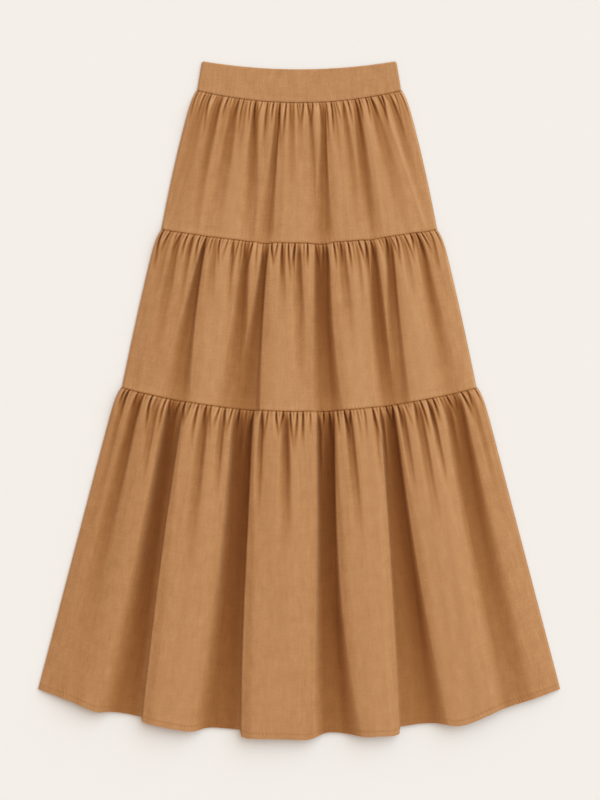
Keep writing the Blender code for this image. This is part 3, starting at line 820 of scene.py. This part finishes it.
# Every point of a tier: its u and v, and where it is across and down, in metres.
def tierGrid(tier, columns, tuck=0.0):
    length = tierLength(tier)
    u = np.linspace(-1, 1, columns)[None, :]
    v = rowsDown(length)
    if tuck:  # two rows more, under the edge above
        v = np.concatenate([[-tuck / length, -tuck / 2 / length], v])
    v = v[:, None]
    top = topEdgeY(tier, u) - skirt["seamGap"] / 2
    low = lowEdgeY(tier, u) + (skirt["seamGap"] / 2 if tier is not bottomTier else 0.0)
    toSide = (1 - np.abs(u)) * halfWidth(tier, 0 * v)
    tucked = lerp(gatherLook["tuckAtSide"], 1.0, smooth(toSide / gatherLook["tuckRun"]))
    y = np.where(v < 0, top - v * length * tucked, lerp(top, low, v))
    return u + 0 * v, v + 0 * u, u * halfWidth(tier, np.maximum(v, 0.0)), y


def cutPlaces(tier, u, v, shift=0.0):
    width, length = tier["cut"]
    return np.stack([u * width / 2 + shift, v * length + shift], -1)


# How much paler the cloth is: wear with a painted highlight along the lower edges, and painted highlights
# on the ridge tops, the right half, the sides and the creases.
wearAndHighlightLook = {
    # painted highlight on the ridge tops
    "ridge": 0.28,
    "ridgeFrom": (0.9, 0.3),  # from this share of a ridge's height, and over this much more
    "ridgeBelow": 0.03,
    "right": 0.22,  # painted light over the right half of the skirt, the side the light comes from
    "rightFrom": (0.15, 0.4),
    "rightTo": (0.92, 0.2),
    "lowEdge": (0.5, 0.0022),  # wear and a painted highlight along the lower edge: how much, and its run
    # painted light near the side seams, against the shade where the cloth turns down
    "side": (0.4, 0.006),
    # painted highlight on the raised creases
    "creases": 0.6,
    "lostInFolds": 0.7,  # share of the painted highlights at the gathers that a valley's painted shade takes away
    "gatherStart": 0.002,
}


def makeTierFront(tier):
    look = gatherLook
    u, v, x, y = tierGrid(tier, tier["columns"], look["tuck"])
    share, shade = folds(tier, u, v)
    below, toEdge = v * tierLength(tier), (1 - v) * tierLength(tier)
    fromSeam = np.maximum(below, 0.0)
    toSide = (1 - np.abs(u)) * halfWidth(tier, v)
    grooves, rimHighlights = gatherGrooves(tier, u, below)
    creases = crestLines(tier, u, v)
    z = frontHeight(tier, u, v, share, grooves) + foldLook["crestHeight"] * creases
    thickness = skirt["cloth"] + (hemLook["extra"] * inHem(toEdge) if tier is bottomTier else 0.0)

    # Painted shade, which deepens the colour: valleys, then gathers, hem stitching and the seams.
    inGather = np.clip(grooves / tier["gatherDepth"], 0, 1)
    shade = shade * lerp(look["seamShade"], 1.0, smooth(below / look["shadeRun"]))
    # Painted highlight lines beside the grooves, which also lessen a valley's painted shade.
    rimHighlights = rimHighlights * np.exp(-fromSeam / look["rimRun"]) * (1 - inGather) * smooth(below / look["rimStart"])
    valleyShade = shade * (1 - look["strips"] * rimHighlights)
    atSeam = lerp(look["lineShade"], 1.0, smooth(below / look["lineRun"]))
    shade = 1 - (1 - valleyShade) * (1 - look["shade"] * inGather * atSeam)
    # Painted shade in the seams: along the top of the tier, and along the lower edge of any tier but the
    # bottom one.
    seamLine = np.exp(-fromSeam / look["seamLineRun"])
    # Painted shade along the hem stitching and at the hem's very edge.
    if tier is bottomTier:
        stitching = np.exp(-(((toEdge - stitchLook["above"]) / hemLook["creaseWidth"]) ** 2))
        hemLine = stitching + hemLook["edgeShade"] * np.exp(-toEdge / hemLook["edgeRun"])
        shade = 1 - (1 - shade) * (1 - hemLook["lineShade"] * np.clip(hemLine, 0, 1))
    else:
        seamLine = np.maximum(seamLine, np.exp(-toEdge / look["seamLineRun"]))
    shade = 1 - (1 - shade) * (1 - look["seamLine"] * seamLine)

    # Paler cloth from wear along the lower edges and from painted highlights on ridge tops, the right half,
    # the sides, between and beside the gathers and on the creases.
    wornAndLit = wearAndHighlightLook
    high, run = wornAndLit["ridgeFrom"]
    wearAndHighlight = wornAndLit["ridge"] * smooth((share - high) / run) * smooth(below / wornAndLit["ridgeBelow"])
    (left, leftRun), (right, rightRun) = wornAndLit["rightFrom"], wornAndLit["rightTo"]
    wearAndHighlight = wearAndHighlight + wornAndLit["right"] * smooth((u - left) / leftRun) * smooth((right - u) / rightRun)
    for distance, (paler, run) in ((toEdge, wornAndLit["lowEdge"]), (toSide, wornAndLit["side"])):
        wearAndHighlight = wearAndHighlight + paler * smooth(1 - distance / run)
    between = np.exp(-fromSeam / look["paleRun"]) * (1 - inGather) * smooth(below / wornAndLit["gatherStart"])
    atGathers = tier["betweenGathers"] * between + look["rim"] * rimHighlights
    wearAndHighlight = wearAndHighlight + atGathers * (1 - wornAndLit["lostInFolds"] * valleyShade) + wornAndLit["creases"] * creases

    outer = np.stack([x, y, z], -1)
    lowest = skirt["backTop"] + skirt["clear"]
    name = tier["name"] + "_front_cloth"
    return clothShell(name, outer, thickness, lowest, cutPlaces(tier, u, v), wearAndHighlight, shade), outer


# The back panels lie flat, with faint gathers.
backLook = {
    "inset": 0.0008, "top": 0.0007, "relief": 0.0004, "most": 0.0005, "gathers": 0.10, "seamRun": 0.004,
    "hemUp": 0.003, "cutShift": 1.3,
}


def makeTierBack(tier):
    look = backLook
    u, v, x, y = tierGrid(tier, tier["columns"] // 3)
    below = v * tierLength(tier)
    relief = look["relief"] - look["gathers"] * gatherGrooves(tier, u, below)[0]
    z = look["top"] + np.clip(relief, 0.0, look["most"]) * smooth(below / look["seamRun"])
    if tier is bottomTier:
        y = y + look["hemUp"] * v
    outer = np.stack([x * (1 - look["inset"] / halfWidth(tier, v)), y, z], -1)
    cut = cutPlaces(tier, u, v, look["cutShift"])
    return clothShell(tier["name"] + "_back_cloth", outer, skirt["cloth"], 0.0, cut, 0.0, 0.0)


stitchLook = {
    "length": 0.0029, "gap": 0.0009, "radius": 0.00019, "sides": 6, "seed": 61,
    "above": 0.0086,  # how far above the skirt's lower edge
    "ends": 0.004,  # left free at the side seams
    "profile": (  # along a thread: the place, its size, and its rise in radii
        (0.0, 0.35, -0.3), (0.18, 1.0, 0.55), (0.82, 1.0, 0.55), (1.0, 0.35, -0.3),
    ),
    "dark": (0.30, 0.130, 0.048), "pale": (0.43, 0.205, 0.085), "twist": 900.0,
    "roughness": (0.58, 0.82), "bump": 0.4, "bumpDepth": 0.00005,
}


def threadMaterial():
    look = stitchLook
    material = bpy.data.materials.new("hem_thread")
    material.use_nodes = True
    nodes, links = material.node_tree.nodes, material.node_tree.links
    shader = nodes["Principled BSDF"]
    place = nodes.new("ShaderNodeTexCoord")
    twist = nodes.new("ShaderNodeTexNoise")
    twist.inputs["Scale"].default_value = look["twist"]
    links.new(place.outputs["Object"], twist.inputs["Vector"])
    ramp = nodes.new("ShaderNodeValToRGB")
    for stop, colour in zip(ramp.color_ramp.elements, (look["dark"], look["pale"])):
        stop.color = (*colour, 1)
    links.new(twist.outputs["Fac"], ramp.inputs["Fac"])
    links.new(ramp.outputs["Color"], shader.inputs["Base Color"])
    rough = nodes.new("ShaderNodeMapRange")
    rough.inputs["To Min"].default_value, rough.inputs["To Max"].default_value = look["roughness"]
    links.new(twist.outputs["Fac"], rough.inputs["Value"])
    links.new(rough.outputs["Result"], shader.inputs["Roughness"])
    bump = nodes.new("ShaderNodeBump")
    bump.inputs["Strength"].default_value = look["bump"]
    bump.inputs["Distance"].default_value = look["bumpDepth"]
    links.new(twist.outputs["Fac"], bump.inputs["Height"])
    links.new(bump.outputs["Normal"], shader.inputs["Normal"])
    return material


# Short threads that lie a little sunk in the cloth.
def makeHemStitches(outer):
    look = stitchLook
    tierDown = tierLength(bottomTier)
    fromHem = np.abs((1 - rowsDown(tierDown)) * tierDown - look["above"])
    line = outer[int(np.argmin(fromHem)) - len(fromHem)]  # counted from the hem up
    reach = np.concatenate([[0.0], np.cumsum(np.linalg.norm(np.diff(line, axis=0), axis=1))])
    rng = random.Random(look["seed"])
    sides, rings = look["sides"], len(look["profile"])
    points, faces = [], []
    start = look["ends"]
    while start + look["length"] < reach[-1] - look["ends"]:
        length = look["length"] * rng.uniform(0.92, 1.05)
        base = len(points)
        for along, size, rise in look["profile"]:
            centre = np.array([np.interp(start + along * length, reach, line[:, i]) for i in range(3)])
            centre[2] += look["radius"] * rise
            for side in range(sides):
                turn = 2 * math.pi * side / sides
                offset = np.array([0.0, math.cos(turn), math.sin(turn)]) * look["radius"] * size
                points.append(tuple(centre + offset))
        for ring in range(rings - 1):
            for side in range(sides):
                after = (side + 1) % sides
                a, b = base + ring * sides, base + (ring + 1) * sides
                faces.append((a + side, a + after, b + after, b + side))
        faces.append(tuple(range(base + sides - 1, base - 1, -1)))
        faces.append(tuple(range(base + (rings - 1) * sides, base + rings * sides)))
        start += length + look["gap"] * rng.uniform(0.8, 1.2)
    mesh = bpy.data.meshes.new("hem_stitches")
    mesh.from_pydata(points, [], faces)
    mesh.shade_smooth()
    mesh.materials.append(threadMaterial())
    stitches = bpy.data.objects.new("hem_stitches", mesh)
    bpy.context.scene.collection.objects.link(stitches)
    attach(stitches, "root")
    return stitches


makeWaistband()
for tier in tiers:
    front, outer = makeTierFront(tier)
    back = makeTierBack(tier)
    material = clothMaterial(tier["name"] + "_linen", tier["seed"])
    extras = [makeHemStitches(outer)] if tier is bottomTier else []
    dressPiece(front, material, tier["node"] + "_front")
    dressPiece(back, material, tier["node"] + "_back")
    print(tier["name"], "made")

# Floor, light and camera.
studio = {
    "floor": 60.0,
    "floorDrop": 0.0003,
    "floorColour": (0.800, 0.775, 0.745),
    "worldColour": (1.0, 0.78, 0.60),
    "world": 0.68,
    "sun": 3.16,
    "sunColour": (0.670, 0.860, 1.0),
    "sunSize": math.radians(80),
    "sunFrom": (0.72, 0.60, 0.85),
    "cameraHeight": 3.4,
    "photoHeight": 1.240,  # what the picture shows from top to bottom
    "photoShift": (0.0012, 0.0004),
    "sensor": 36.0,
}


def makeStudio():
    half = studio["floor"] / 2
    mesh = bpy.data.meshes.new("floor")
    corners = [(x * half, y * half, -studio["floorDrop"]) for x, y in ((-1, -1), (1, -1), (1, 1), (-1, 1))]
    mesh.from_pydata(corners, [], [(0, 1, 2, 3)])
    floor = bpy.data.objects.new("floor", mesh)
    bpy.context.scene.collection.objects.link(floor)
    material = bpy.data.materials.new("pale_floor")
    material.use_nodes = True
    shader = material.node_tree.nodes["Principled BSDF"]
    shader.inputs["Base Color"].default_value = (*studio["floorColour"], 1)
    shader.inputs["Roughness"].default_value = 0.95
    shader.inputs["Specular IOR Level"].default_value = 0.1
    mesh.materials.append(material)

    scene = bpy.context.scene
    scene.view_settings.view_transform = "Standard"
    world = bpy.data.worlds.new("studio")
    scene.world = world
    world.use_nodes = True
    background = world.node_tree.nodes["Background"]
    background.inputs["Color"].default_value = (*studio["worldColour"], 1)
    background.inputs["Strength"].default_value = studio["world"]

    sun = bpy.data.lights.new("window_light", "SUN")
    sun.energy = studio["sun"]
    sun.color = studio["sunColour"]
    sun.angle = studio["sunSize"]
    lamp = bpy.data.objects.new("window_light", sun)
    x, y, z = studio["sunFrom"]
    lamp.rotation_euler = (math.atan2(math.hypot(x, y), z), 0, math.atan2(y, x) + math.pi / 2)
    scene.collection.objects.link(lamp)

    data = bpy.data.cameras.new("camera")
    data.sensor_fit = "VERTICAL"
    data.sensor_height = studio["sensor"]
    data.lens = studio["sensor"] * studio["cameraHeight"] / studio["photoHeight"]
    camera = bpy.data.objects.new("camera", data)
    camera.location = (*studio["photoShift"], studio["cameraHeight"])
    scene.collection.objects.link(camera)
    scene.camera = camera
    print("studio made")


makeStudio()
